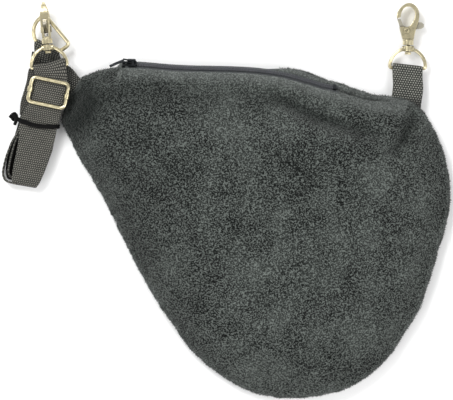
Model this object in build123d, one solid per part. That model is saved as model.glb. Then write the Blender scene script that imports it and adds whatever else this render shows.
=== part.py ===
from build123d import *
import math
import os

# Zip-top padded fleece muff with a clip hook on its right corner, and on its left
# corner a D-ring that holds the folded, adjustable strap.
# Millimetres. The muff lies on its back: +Z is up out of its front, +Y towards its zip,
# +X towards its right corner. The origin is under the middle of the whole object.

# ---- driving dimensions --------------------------------------------------------------
TO_MIDDLE = (-0.4, 0.3, 0)

# padded body
SEAM_Z = 7.0              # height of the side seam above the surface the muff lies on
BODY_TOP = 46.0           # height of the crown of the front
CENTRE = (28.0, 2.0)      # the crown's place, towards which the walls draw in
FLEECE = 3.0
WADDING = 6.0
LINING = 1.7
LAYER_GAP = 0.3
SEAM_GAP = 0.2            # between the front's and back's stacks at the side seam
FRONT_RISE = [(1.0, 0.0), (0.975, 0.17), (0.92, 0.38), (0.78, 0.66), (0.55, 0.88), (0.25, 1.0)]
BACK_DROP = [(1.0, 0.0), (0.975, 0.62), (0.93, 0.93), (0.86, 1.0)]

# outline of the side seam, anticlockwise from the left corner
OUTLINE = [
    (-131, 64), (-119, 38), (-97, 1), (-72, -50), (-45, -95), (-10, -136), (38, -157),
    (88, -154), (129, -126), (157, -80), (175, -21), (180, 5), (174, 40), (158, 72),
    (132, 82), (99, 88), (61, 103), (20, 106), (-30, 105), (-72, 109), (-104, 103), (-118, 93),
]

# zip
ZIP_START = (-79.0, 108.0)
ZIP_END = (88.0, 89.5)
ZIP_BULGE = 3.3           # how far the zip's arc rises above its chord
ZIP_Z = 17.5
ZIP_TILT = 45.0           # the zip faces up and out at the top edge
MOUTH_OVERRUN = (7.0, 6.0)    # the gap in the fleece runs this far past the zip's two ends
MOUTH_HALF = 6.5          # half the gap between the fleece lips
TAPE_THICK = 0.8
COIL_INNER = 0.9
COIL_OUTER = 2.4
COIL_THICK = 2.0
SLIDER_LONG = 8.0
SLIDER_WIDE = 6.6
PULL_PIN = (3.2, 3.6)     # along the slider and above it, as are the next two
PULL_PEAK = (-2.6, 4.7)   # where the pull's tag hangs over to one side
PULL_TIP = (-13.4, -5.0, 2.4)    # along the slider, across it and above it
PULL_THICK = 1.0

# webbing
WEB_WIDE = 25.0
WEB_THICK = 1.2
TAB_HEAD_WIDE = 13.0      # the left tab's folded end, gathered into the ring

# swivel hooks, in a frame with its origin in the eye's collar and +y towards the claw
EYE_WIRE_R = 1.4
EYE_R = 14.2              # centre line of the eye's arch
EYE_BAR_Y = -15.5
SHANK_R = 1.5
SHANK_FIT = 0.06
COLLAR_R = 3.6
HOOK_HALF_THICK = 3.6
PIVOT = (-1.7, 14.4)
PIN_R = 1.0
PIN_FIT = 0.05
GATE_HALF = 1.4
GATE_REACH = 11.75        # furthest the gate's tip is from its pin
SLOT_HALF = 1.7

# right hook: the collar's place and how far its axis leans
RIGHT_HOOK = (146.2, 121.6, 5.4)
RIGHT_LEAN = -1.5

# left side: ring, hook standing on its edge, and strap
RING_WIRE_R = 1.5
RING_HALF = 15.5
RING_SIDE = 5.0
RING_HELD = (-145.1, 120.8, 5.0)    # where the tab's loop holds the ring
RING_TANGENT = (0.9, -0.436)        # direction of the ring's wire there
RING_TURN = -51.8                   # turn of the ring's straight bar in plan
RING_TILT = 20.7                    # the ring rises from the tab to the hook
LEFT_HOOK = (-142.5, 122.2, 12.8)
LEFT_LEAN = 5.2

# strap and adjuster
STRAP_TURN = -12.0
ADJUSTER = (-141.6, 85.8)
FRAME_HALF = (14.9, 10.0)
FRAME_WIRE_R = 1.5
HANK_LOW = 1.9            # underside and top of the folded strap under the long run
HANK_HIGH = 9.4

# elastic tie
TIE_PLACE = (-151.8, 59.4)
TIE_HALF = 17.4
TIE_THICK = 1.5
TIE_LOW = 1.5

os.makedirs("parts", exist_ok=True)


# ---- helpers -------------------------------------------------------------------------
def save(name, solid):
    """Write one sub-part, moved so that the origin is under the middle of the whole object."""
    solid = Pos(*TO_MIDDLE) * solid
    solid.label = name
    export_step(solid, f"parts/{name}.step")
    size = solid.bounding_box().size
    print(name, len(solid.solids()), round(solid.volume), [round(v, 1) for v in size])


def block(low, high):
    """A box between two opposite corners."""
    size = [b - a for a, b in zip(low, high)]
    middle = [(a + b) / 2 for a, b in zip(low, high)]
    return Pos(*middle) * Box(*size)


def rod(wire, radius):
    """A round bar along a wire in the XY plane."""
    start = wire @ 0
    section = Plane(origin=start, z_dir=wire % 0) * Circle(radius)
    return sweep(section, path=wire)


def post(radius, low, high, place=(0, 0)):
    """A round post along +y of a hook's frame."""
    turned = Plane(origin=(place[0], low, place[1]), x_dir=(1, 0, 0), z_dir=(0, 1, 0))
    return extrude(turned * Circle(radius), high - low)


def plate(points, low, high):
    """A flat plate with straight sides, from z low to z high."""
    face = make_face(Polyline(*points, close=True))
    return Pos(0, 0, low) * extrude(face, high - low)


def strip(path, thick, low, high):
    """A strip bent in a slider's side view: its path, thickened, from y low to y high."""
    side = Plane(origin=(0, high, 0), x_dir=(1, 0, 0), z_dir=(0, -1, 0))
    return extrude(side * trace(path, line_width=thick), high - low)


def bar(start, end, wide, thick):
    """A flat bar between two points, with rounded corners, facing as nearly up as it can."""
    first, last = Vector(*start), Vector(*end)
    along = (last - first).normalized()
    across = along.cross(Vector(0, 0, 1)).normalized()
    place = Plane(origin=(first + last) / 2, x_dir=along, z_dir=across.cross(along))
    shape = Box((last - first).length, wide, thick)
    shape = fillet(shape.edges().filter_by(Axis.Z), 0.4)
    return place.location * shape


def band(path, thick, half_wide):
    """Webbing on edge: a path in the y-z plane, thickened and made 2 x half_wide across x."""
    side = Plane(origin=(-half_wide, 0, 0), x_dir=(0, 1, 0), z_dir=(1, 0, 0))
    return extrude(side * trace(path, line_width=thick), 2 * half_wide)


# ---- padded body ---------------------------------------------------------------------
def pillow(levels, height, wide_in, high_in):
    """One side of the body, drawn in by wide_in and high_in, as a closed solid on the seam."""
    shrink = 1 - wide_in / 105
    flat = 1 - high_in / abs(height)
    sections = []
    for share, rise in levels:
        scale = share * shrink
        points = [
            (CENTRE[0] + (x - CENTRE[0]) * scale, CENTRE[1] + (y - CENTRE[1]) * scale)
            for x, y in OUTLINE
        ]
        level = Plane(origin=(0, 0, SEAM_Z + height * flat * rise))
        sections.append(level * make_face(Spline(*points, periodic=True)))
    return loft(sections)


def zip_centre():
    """Centre and radius of the zip's arc, and its first and last angle."""
    dx = ZIP_END[0] - ZIP_START[0]
    dy = ZIP_END[1] - ZIP_START[1]
    chord = math.hypot(dx, dy)
    radius = (chord * chord / 4 + ZIP_BULGE * ZIP_BULGE) / (2 * ZIP_BULGE)
    drop = radius - ZIP_BULGE
    x = (ZIP_START[0] + ZIP_END[0]) / 2 + drop * dy / chord
    y = (ZIP_START[1] + ZIP_END[1]) / 2 - drop * dx / chord
    first = math.atan2(ZIP_START[1] - y, ZIP_START[0] - x)
    last = math.atan2(ZIP_END[1] - y, ZIP_END[0] - x)
    return x, y, radius, first, last


ZIP_X, ZIP_Y, ZIP_R, ZIP_A, ZIP_B = zip_centre()
FACE = math.radians(ZIP_TILT)


def along_zip(corners, start_mm, end_mm):
    """Turn a cross-section about the zip arc's centre.

    A corner is (u, n): u down the back from the zip's middle line, n out of its face.
    start_mm and end_mm are distances along the zip from its left end.
    """
    begin = ZIP_A - start_mm / ZIP_R
    outline = []
    for u, n in corners:
        out = ZIP_R + u * math.sin(FACE) + n * math.cos(FACE)
        up = ZIP_Z - u * math.cos(FACE) + n * math.sin(FACE)
        outline.append((ZIP_X + out * math.cos(begin), ZIP_Y + out * math.sin(begin), up))
    face = make_face(Polyline(*outline, close=True))
    axis = Axis((ZIP_X, ZIP_Y, 0), (0, 0, -1))
    return revolve(face, axis, math.degrees((end_mm - start_mm) / ZIP_R))


def rectangle(u_low, u_high, n_low, n_high):
    return [(u_low, n_low), (u_high, n_low), (u_high, n_high), (u_low, n_high)]


ZIP_LONG = ZIP_R * (ZIP_A - ZIP_B)

# ---- webbing tabs --------------------------------------------------------------------
turn_right = Location(RIGHT_HOOK, (0, 0, RIGHT_LEAN))
FOLD_R = EYE_WIRE_R + 0.1 + WEB_THICK / 2
TAB_LIFT = SEAM_Z + 0.2 - RIGHT_HOOK[2]

tab_path = Polyline(
    (-37, TAB_LIFT + 0.7), (-28, TAB_LIFT + 0.7), (-7, FOLD_R), (0, FOLD_R)
) + ThreePointArc((0, FOLD_R), (FOLD_R, 0), (0, -FOLD_R)) + Polyline(
    (0, -FOLD_R), (-7, -FOLD_R + 0.4), (-28, TAB_LIFT - 0.7), (-37, TAB_LIFT - 0.7)
)
right_tab = turn_right * (Pos(0, EYE_BAR_Y, 0) * band(tab_path, WEB_THICK, WEB_WIDE / 2 - 0.2))

LOOP_R = RING_WIRE_R + 1.3 + WEB_THICK / 2
head_path = Polyline((-18, 0.7), (-11, 0.9), (-4, LOOP_R), (0, LOOP_R)) + ThreePointArc(
    (0, LOOP_R), (LOOP_R, 0), (0, -LOOP_R)
) + Polyline((0, -LOOP_R), (-4, -LOOP_R + 0.4), (-11, -0.9), (-18, -0.7))
head_turn = math.degrees(math.atan2(RING_TANGENT[1], RING_TANGENT[0]))
head = Location(RING_HELD, (0, 0, head_turn)) * Pos(0, 0.7, 0) * band(
    head_path, WEB_THICK, TAB_HEAD_WIDE / 2
)
# the tab lies flat from the ring to the body's left corner
left_strip = plate(
    [
        (-158, 112.5), (-148, 101), (-137, 80), (-128, 71),
        (-106, 84), (-113.5, 96), (-131, 113), (-143, 118),
    ],
    RING_HELD[2] - 1.2,
    RING_HELD[2] + 1.3,
)
left_tab = head + left_strip

# ---- body layers ---------------------------------------------------------------------
# the gap between the lips; the lip behind it, made from the front's stack; and its clearance
FIRST = -MOUTH_OVERRUN[0]
LAST = ZIP_LONG + MOUTH_OVERRUN[1]
mouth = along_zip(rectangle(-MOUTH_HALF, MOUTH_HALF, -22, 14), FIRST, LAST)
back_lip = along_zip(rectangle(MOUTH_HALF - 0.1, 40, -8, 20), FIRST, LAST)
lip_room = along_zip(rectangle(MOUTH_HALF - 0.5, 40, -8.5, 20), FIRST - 0.4, LAST + 0.4)
# the webbing tabs lie in notches in the side seam
tab_room = plate([(129, 60), (159, 60), (161, 95), (129, 95)], 4.2, 10.3)
tab_room += plate([(-150, 118), (-147, 66), (-100, 66), (-100, 112)], 3.3, 6.8)
DEPTHS = [("panel", 0.0, FLEECE), ("wadding", FLEECE + LAYER_GAP, FLEECE + WADDING)]
DEPTHS.append(("lining", FLEECE + WADDING + LAYER_GAP, FLEECE + WADDING + LINING))
BACK_SHARE = 0.6          # the back's layers are pressed thinner by the body's weight


def layer(outside, inside, levels, height, share):
    """One layer of one side: the space between two pillows."""
    outer = pillow(levels, height, outside, outside * share)
    inner = pillow(levels, height, inside, inside * share)
    return outer - inner


for name, outside, inside in DEPTHS:
    front = layer(outside, inside, FRONT_RISE, BODY_TOP - SEAM_Z, 1.0)
    back = layer(outside, inside, BACK_DROP, -SEAM_Z, BACK_SHARE)
    back += front & back_lip
    front = Pos(0, 0, SEAM_GAP) * (front - lip_room)
    for side, piece in (("front", front), ("back", back)):
        piece = piece - mouth - tab_room
        save(f"{side}_{name}", piece.solids().sort_by(SortBy.VOLUME)[-1])

save("right_tab", right_tab)
save("left_tab", left_tab)

# ---- zip -----------------------------------------------------------------------------
half_tape = TAPE_THICK / 2
for side, sign in (("front", -1), ("back", 1)):
    near, far = sign * (COIL_OUTER + 0.15), sign * (MOUTH_HALF - 0.2)
    tape = rectangle(min(near, far), max(near, far), -half_tape, half_tape)
    save(f"zip_tape_{side}", along_zip(tape, -5, ZIP_LONG + 4))
    near, far = sign * COIL_INNER, sign * COIL_OUTER
    coil = rectangle(min(near, far), max(near, far), -COIL_THICK / 2, COIL_THICK / 2)
    save(f"zip_coil_{side}", along_zip(coil, 1, ZIP_LONG - 3))

top_stops = along_zip(rectangle(-COIL_OUTER, -COIL_INNER, -1.3, 1.3), -3.6, -1.6)
top_stops += along_zip(rectangle(COIL_INNER, COIL_OUTER, -1.3, 1.3), -3.6, -1.6)
save("zip_top_stops", top_stops)
save("zip_bottom_stop", along_zip(rectangle(-2.5, 2.5, -1.4, 1.4), ZIP_LONG - 2.6, ZIP_LONG))

start_dir = (math.sin(ZIP_A), -math.cos(ZIP_A), 0)
face_dir = (math.cos(ZIP_A) * math.cos(FACE), math.sin(ZIP_A) * math.cos(FACE), math.sin(FACE))
at_start = Plane(origin=(ZIP_START[0], ZIP_START[1], ZIP_Z), x_dir=start_dir, z_dir=face_dir)

upper = block((0, -SLIDER_WIDE / 2, 1.35), (SLIDER_LONG, SLIDER_WIDE / 2, 2.55))
upper = fillet(upper.edges().filter_by(Axis.Z), 2.2)
lower = Pos(0, 0, -3.9) * upper
neck = block((0.4, -0.55, -1.5), (2.6, 0.55, 1.5))
bridge_low = block((0.9, -0.8, 2.4), (2.1, 0.8, 5.6))
bridge_high = block((5.8, -0.8, 2.4), (7.0, 0.8, 5.6))
bridge_top = block((0.9, -0.8, 4.7), (7.0, 0.8, 5.9))
slider = upper + lower + neck + bridge_low + bridge_high + bridge_top
save("zip_slider", at_start.location * slider)

eye_bar = Plane(origin=(PULL_PIN[0], -1.8, PULL_PIN[1]), x_dir=(1, 0, 0), z_dir=(0, 1, 0))
pull = extrude(eye_bar * Circle(0.5), 3.6)
arm_path = Polyline(PULL_PIN, PULL_PEAK)
pull += strip(arm_path, PULL_THICK, 1.1, 1.8)
pull += strip(arm_path, PULL_THICK, -1.8, -1.1)
corner = Plane(origin=(PULL_PEAK[0], -1.8, PULL_PEAK[1]), x_dir=(1, 0, 0), z_dir=(0, 1, 0))
pull += extrude(corner * Circle(PULL_THICK / 2), 3.6)
pull += bar((PULL_PEAK[0], 0, PULL_PEAK[1]), PULL_TIP, 2.0, PULL_THICK)
save("zip_pull", at_start.location * pull)


# ---- swivel hooks --------------------------------------------------------------------
def swivel_eye():
    """The D-shaped wire eye with its bored collar."""
    low = -EYE_R
    arch = ThreePointArc((EYE_R, low), (0, low + EYE_R), (-EYE_R, low))
    corners = [(-EYE_R, low), (-EYE_R, EYE_BAR_Y), (EYE_R, EYE_BAR_Y), (EYE_R, low)]
    bottom = FilletPolyline(*corners, radius=low - EYE_BAR_Y - 0.05)
    wire = Wire([*bottom.edges(), arch.edge()])
    ring = rod(wire, EYE_WIRE_R)
    collar = post(COLLAR_R, -2.3, 2.1)
    collar += Pos(0, -0.1, 0) * Rot(0, 90, 0) * Cylinder(2.2, 9.4)
    return ring + collar - post(SHANK_R + SHANK_FIT, -5, 5)


def claw_outline():
    """Outer edge of the claw and body, then the inner edge back."""
    outer = Spline(
        (4.4, 8.0), (5.8, 15.5), (7.6, 22.0), (8.0, 28.5), (5.8, 33.8), (0.4, 36.6),
        (-5.5, 34.0), (-9.2, 28.6), (-9.4, 24.0),
    )
    tip = Line((-9.4, 24.0), (-6.6, 24.0))
    inner = Spline(
        (-6.6, 24.0), (-6.4, 27.6), (-4.4, 31.8), (-0.4, 33.8), (3.3, 32.2), (5.0, 28.5),
        (4.2, 23.5), (1.6, 18.8), (-4.6, 17.4),
    )
    base = Polyline((-4.6, 17.4), (-7.2, 17.0), (-4.7, 8.0), (4.4, 8.0))
    return make_face(Wire([outer.edge(), tip.edge(), inner.edge(), *base.edges()]))


def edge_outline():
    """The hook from the side: thick body, claw thinning to a rounded point at its top."""
    half = HOOK_HALF_THICK
    right = [(3.3, 6.2), (half, 16), (half, 23), (3.3, 26.5), (2.75, 30), (1.9, 33.5), (0.7, 36.8)]
    left = [(-x, y) for x, y in reversed(right)]
    return right + left


def hook_body():
    """Claw, forked body, base collar, shank and rivet head in one casting."""
    flat = Pos(0, 0, -5) * extrude(claw_outline(), 10)
    side = Plane(origin=(-15, 0, 0), x_dir=(0, 0, -1), z_dir=(1, 0, 0))
    turned = side * make_face(Polyline(*edge_outline(), close=True))
    body = flat & extrude(turned, 30)
    body -= block((-14, 7.2, -SLOT_HALF), (14, 22.4, SLOT_HALF))
    body += block((-4.4, 6.6, -3.2), (4.1, 8.3, 3.2)) & post(5.0, 6.0, 9.0)
    body += post(4.3, 2.9, 6.8)
    body += post(SHANK_R, -4.0, 3.2)
    body += post(2.4, -4.7, -2.9)
    pin = Pos(PIVOT[0], PIVOT[1], 0) * Cylinder(PIN_R + 0.02, 12)
    # the claw's end is cut back to let the gate's tip swing past
    swept = Pos(PIVOT[0], PIVOT[1], 0) * Cylinder(GATE_REACH + 0.2, 12)
    swept &= block((-12, 19, -6), (-3, 27, 6))
    return body - pin - swept


def gate_rivet():
    """The gate's pin with a dished head each side."""
    pin = Cylinder(PIN_R, 2 * HOOK_HALF_THICK)
    for side in (-1, 1):
        head = Pos(0, 0, side * (HOOK_HALF_THICK + 0.35)) * Cylinder(2.5, 0.7)
        dish = Pos(0, 0, side * (HOOK_HALF_THICK + 0.6)) * Cylinder(1.0, 1.0)
        pin = pin + head - dish
    return Pos(PIVOT[0], PIVOT[1], 0) * pin


def gate():
    """The spring gate: tongue on the left, thumb lever on the right."""
    x, y = PIVOT
    tongue = [
        (x - 2.2, y - 1.6), (-7.2, 17.6), (-9.2, 23.4), (-6.5, 23.4), (-4.6, 18.6),
        (x + 1.0, y + 2.2),
    ]
    shape = plate(tongue, -GATE_HALF, GATE_HALF)
    lever = [
        (x, y - 2.4), (6.0, 15.6), (10.4, 16.3), (12.2, 17.6), (12.2, 19.8), (10.4, 21.2),
        (6.4, 21.2), (x, y + 2.6),
    ]
    shape += plate(lever, -GATE_HALF, GATE_HALF)
    shape += Pos(x, y, 0) * Cylinder(3.0, 2 * GATE_HALF)
    return shape - Pos(x, y, 0) * Cylinder(PIN_R + PIN_FIT, 10)


def gate_spring():
    """A small compression spring in the slot under the lever, as stacked rings."""
    coils = post(0.5, 8.35, 10.5, (2.4, 0))
    for turn in range(3):
        ring = Plane(origin=(2.4, 8.7 + 0.8 * turn, 0), x_dir=(1, 0, 0), z_dir=(0, 1, 0))
        coils += ring.location * Torus(0.95, 0.32)
        coils += ring.location * Cylinder(0.9, 0.2)
    return coils


# the right hook lies flat; the left one stands on its edge, thumb lever up
left_plane = Plane(
    origin=LEFT_HOOK,
    x_dir=(0, 0, 1),
    z_dir=(-math.cos(math.radians(LEFT_LEAN)), -math.sin(math.radians(LEFT_LEAN)), 0),
)
left_eye_place = Location(LEFT_HOOK, (0, 0, LEFT_LEAN))
for side, place, eye_place in (
    ("right", turn_right, turn_right),
    ("left", left_plane.location, left_eye_place),
):
    save(f"{side}_swivel_eye", eye_place * swivel_eye())
    save(f"{side}_hook_body", place * hook_body())
    save(f"{side}_hook_gate", place * gate())
    save(f"{side}_gate_rivet", place * gate_rivet())
    save(f"{side}_gate_spring", place * gate_spring())

# ---- D-ring --------------------------------------------------------------------------
ring_sides = FilletPolyline(
    (-RING_HALF, -RING_SIDE), (-RING_HALF, 0), (RING_HALF, 0), (RING_HALF, -RING_SIDE), radius=3.0
)
ring_arc = ThreePointArc(
    (RING_HALF, -RING_SIDE), (0, -RING_SIDE - RING_HALF), (-RING_HALF, -RING_SIDE)
)
ring = rod(Wire([*ring_sides.edges(), ring_arc.edge()]), RING_WIRE_R)
held_x, held_y = RING_TANGENT[1], -RING_TANGENT[0]
ring_turned = Rot(0, 0, RING_TURN) * Pos(0, RING_SIDE, 0) * ring
ring_placed = Pos(
    RING_HELD[0] - RING_HALF * held_x, RING_HELD[1] - RING_HALF * held_y, RING_HELD[2]
) * ring_turned
ring_placed = ring_placed.rotate(Axis(RING_HELD, (*RING_TANGENT, 0)), RING_TILT)
save("d_ring", ring_placed)

# ---- strap, adjuster and tie ---------------------------------------------------------
lean = math.radians(LEFT_LEAN)
# the left eye's straight bar, round which the strap is folded
BAR = (LEFT_HOOK[0] - EYE_BAR_Y * math.sin(lean), LEFT_HOOK[1] + EYE_BAR_Y * math.cos(lean))
LOW_Z = HANK_HIGH + 0.2 + WEB_THICK / 2 - LEFT_HOOK[2]
loop_path = Polyline((-9, -FOLD_R), (0, -FOLD_R)) + ThreePointArc(
    (0, -FOLD_R), (FOLD_R, 0), (0, FOLD_R)
) + Polyline((0, FOLD_R), (-35.4, FOLD_R), (-41, LOW_Z), (-102.6, LOW_Z))
run = Location((BAR[0], BAR[1], LEFT_HOOK[2]), (0, 0, LEFT_LEAN)) * band(loop_path, WEB_THICK, 60)
run_plan = plate(
    [
        (-153.4, 115), (-129.2, 117), (-129.0, 105), (-127.0, 92.9), (-131.2, 73.3), (-137, 56),
        (-141, 38), (-148, 20), (-151.5, 11.5), (-175.5, 13.5), (-170, 38), (-164, 62),
        (-156.2, 78.7), (-152, 98.3), (-153.1, 105),
    ],
    0,
    30,
)
save("strap_run", run & run_plan)

# the rest of the strap, folded to and fro under the run and held by the tie
hank_plan = [
    (-166.3, 71), (-167.5, 62), (-172, 50), (-176, 38), (-179, 28), (-179.3, 19), (-177, 14),
    (-172, 10.8), (-152, 9.4), (-146, 16), (-140.5, 32), (-137.5, 44), (-136, 55), (-136, 64),
    (-139, 72),
]
save("strap_folds", plate(hank_plan, HANK_LOW, HANK_HIGH))

frame_z = LEFT_HOOK[2] + FOLD_R + WEB_THICK / 2 + 0.15 + FRAME_WIRE_R
frame_path = RectangleRounded(2 * FRAME_HALF[0], 2 * FRAME_HALF[1], 3.5).wire()
adjuster_place = Location((ADJUSTER[0], ADJUSTER[1], frame_z), (0, 0, STRAP_TURN))
save("adjuster_frame", adjuster_place * rod(frame_path, FRAME_WIRE_R))

SEWN_R = FRAME_WIRE_R + 0.05 + WEB_THICK / 2
drop = 2 * (FRAME_WIRE_R + 0.15) + 2 * WEB_THICK + 0.1    # centre bar below the frame
across = Plane(origin=(-FRAME_HALF[0], 0, -drop), x_dir=(0, 1, 0), z_dir=(1, 0, 0))
centre_bar = extrude(across * Circle(FRAME_WIRE_R), 2 * FRAME_HALF[0])
for side in (-1, 1):
    centre_bar += Pos(side * FRAME_HALF[0], 0, -drop / 2) * Cylinder(FRAME_WIRE_R, drop)
    bead = Plane(origin=(side * FRAME_HALF[0], -2.1, 0), x_dir=(1, 0, 0), z_dir=(0, 1, 0))
    centre_bar += extrude(bead * Circle(2.1), 4.2)
centre_bar -= rod(frame_path, FRAME_WIRE_R + 0.02)
save("adjuster_bar", adjuster_place * centre_bar)

sewn_path = Polyline((-6, -0.35), (-2.6, -SEWN_R), (0, -SEWN_R)) + ThreePointArc(
    (0, -SEWN_R), (SEWN_R, 0), (0, SEWN_R)
)
sewn = adjuster_place * Pos(0, 0, -drop) * band(sewn_path, WEB_THICK, 12.8)
save("strap_sewn_end", sewn)

tie_high = LEFT_HOOK[2] + LOW_Z + WEB_THICK / 2 + 0.5
outer_half = TIE_HALF + TIE_THICK
tie = block(
    (-outer_half, -TIE_THICK, TIE_LOW - 1.4), (outer_half, TIE_THICK, tie_high + TIE_THICK)
)
tie -= block((-TIE_HALF, -3, TIE_LOW), (TIE_HALF, 3, tie_high))
tie += Pos(-TIE_HALF - 3.0, 0.4, 7) * Rot(90, 0, 0) * Cylinder(2.3, 4.2)    # the tie's knot
save("strap_tie", Location((TIE_PLACE[0], TIE_PLACE[1], 0), (0, 0, STRAP_TURN)) * tie)
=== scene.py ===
import math

import bmesh
import bpy
import numpy as np
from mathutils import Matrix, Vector, noise


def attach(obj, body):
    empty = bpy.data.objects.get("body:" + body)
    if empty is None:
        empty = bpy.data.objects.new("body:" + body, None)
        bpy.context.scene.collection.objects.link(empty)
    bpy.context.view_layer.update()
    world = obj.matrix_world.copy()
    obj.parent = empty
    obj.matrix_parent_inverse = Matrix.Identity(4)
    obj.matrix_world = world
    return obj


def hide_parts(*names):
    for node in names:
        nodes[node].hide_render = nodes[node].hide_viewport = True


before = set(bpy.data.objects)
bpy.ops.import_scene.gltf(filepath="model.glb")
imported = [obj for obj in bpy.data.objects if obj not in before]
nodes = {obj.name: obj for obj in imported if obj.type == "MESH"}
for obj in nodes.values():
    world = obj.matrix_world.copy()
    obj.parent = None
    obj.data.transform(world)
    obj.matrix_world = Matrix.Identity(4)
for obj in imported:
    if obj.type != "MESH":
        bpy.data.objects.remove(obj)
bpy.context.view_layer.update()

MM = 0.001
SHIFT = np.array((-0.4, 0.3, 0.0))    # the part's own origin shift, in millimetres
SEAM_Z = 7.0
CENTRE = np.array((28.0, 2.0))
CROWN = 46.0


# ---- small tools ---------------------------------------------------------------------
def smooth(a, b, x):
    t = np.clip((x - a) / (b - a), 0, 1)
    return t * t * (3 - 2 * t)


def spline(points, step, closed=False):
    """Catmull-Rom curve through rows of points, resampled evenly by their first three columns."""
    p = np.array(points, float)
    n = len(p)
    out = []
    spans = n if closed else n - 1
    for i in range(spans):
        if closed:
            a, b, c, d = p[(i - 1) % n], p[i], p[(i + 1) % n], p[(i + 2) % n]
        else:
            b, c = p[i], p[i + 1]
            a = p[i - 1] if i else 2 * b - c
            d = p[i + 2] if i + 2 < n else 2 * c - b
        for t in np.linspace(0, 1, 24, endpoint=False):
            out.append(
                0.5 * (2 * b + (c - a) * t + (2 * a - 5 * b + 4 * c - d) * t * t
                       + (3 * b - a - 3 * c + d) * t ** 3)
            )
    out.append(p[0] if closed else p[-1])
    out = np.array(out)
    gap = np.linalg.norm(np.diff(out[:, :3], axis=0), axis=1)
    s = np.concatenate([[0], np.cumsum(gap)])
    count = max(2, int(round(s[-1] / step)) + 1)
    at = np.linspace(0, s[-1], count)
    res = np.stack([np.interp(at, s, out[:, k]) for k in range(out.shape[1])], 1)
    return res[:-1] if closed else res


def new_mesh(name, verts_mm, faces, uvs=None):
    """An object from millimetre coordinates in the part's drawing frame."""
    mesh = bpy.data.meshes.new(name)
    v = (np.asarray(verts_mm, float) + SHIFT) * MM
    mesh.from_pydata(v.tolist(), [], [tuple(int(i) for i in f) for f in faces])
    if uvs is not None:
        layer = mesh.uv_layers.new(name="cloth")
        idx = np.zeros(len(mesh.loops), int)
        mesh.loops.foreach_get("vertex_index", idx)
        layer.data.foreach_set("uv", np.asarray(uvs, float)[idx].ravel())
    mesh.shade_smooth()
    obj = bpy.data.objects.new(name, mesh)
    bpy.context.scene.collection.objects.link(obj)
    return obj


def coords(obj):
    co = np.zeros(len(obj.data.vertices) * 3)
    obj.data.vertices.foreach_get("co", co)
    return co.reshape(-1, 3) / MM - SHIFT


def set_coords(obj, co):
    obj.data.vertices.foreach_set("co", ((co + SHIFT) * MM).ravel())
    obj.data.update()


def normals(obj):
    n = np.zeros(len(obj.data.vertices) * 3)
    obj.data.vertices.foreach_get("normal", n)
    return n.reshape(-1, 3)


def values(obj, name):
    out = np.zeros(len(obj.data.vertices), np.float32)
    obj.data.attributes[name].data.foreach_get("value", out)
    return out


def set_value(obj, name, value):
    """A named number at each point, which the materials read."""
    layer = obj.data.attributes.new(name, "FLOAT", "POINT")
    given = np.full(len(obj.data.vertices), value) if np.isscalar(value) else value
    layer.data.foreach_set("value", given.astype(np.float32))


def skin(rows, size, base=0, closed=False, capped=True, order=None, flip=False):
    """Faces over rows of size points each, with a face across each open end."""
    ring = order or list(range(size))
    faces = []
    for i in range(rows if closed else rows - 1):
        a = base + i * size
        b = base + (i + 1) % rows * size
        for k, m in zip(ring, ring[1:] + ring[:1]):
            faces.append((a + k, a + m, b + m, b + k))
    if capped and not closed:
        faces.append(tuple(base + k for k in reversed(ring)))
        faces.append(tuple(base + (rows - 1) * size + k for k in ring))
    return [face[::-1] for face in faces] if flip else faces


def applied(obj):
    """Replace the object's mesh by its evaluated one."""
    dg = bpy.context.evaluated_depsgraph_get()
    mesh = bpy.data.meshes.new_from_object(obj.evaluated_get(dg))
    old = obj.data
    obj.modifiers.clear()
    obj.data = mesh
    bpy.data.meshes.remove(old)
    return obj


def piece(obj, body, slot, *stands_for, material=None):
    if material:
        obj.data.materials.clear()
        obj.data.materials.append(material)
    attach(obj, body)
    if stands_for:
        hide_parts(*stands_for)
    return obj


def noise_at(co, size, seed=0.0, octaves=1):
    """Smooth noise of about +-1 at millimetre coordinates, with features of that size."""
    out = np.empty(len(co))
    off = Vector((seed, seed * 1.7, -seed))
    for i, p in enumerate(co / size):
        v = Vector(p) + off
        out[i] = noise.noise(v) if octaves == 1 else noise.fractal(v, 1.0, 2.0, octaves)
    return out


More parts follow.
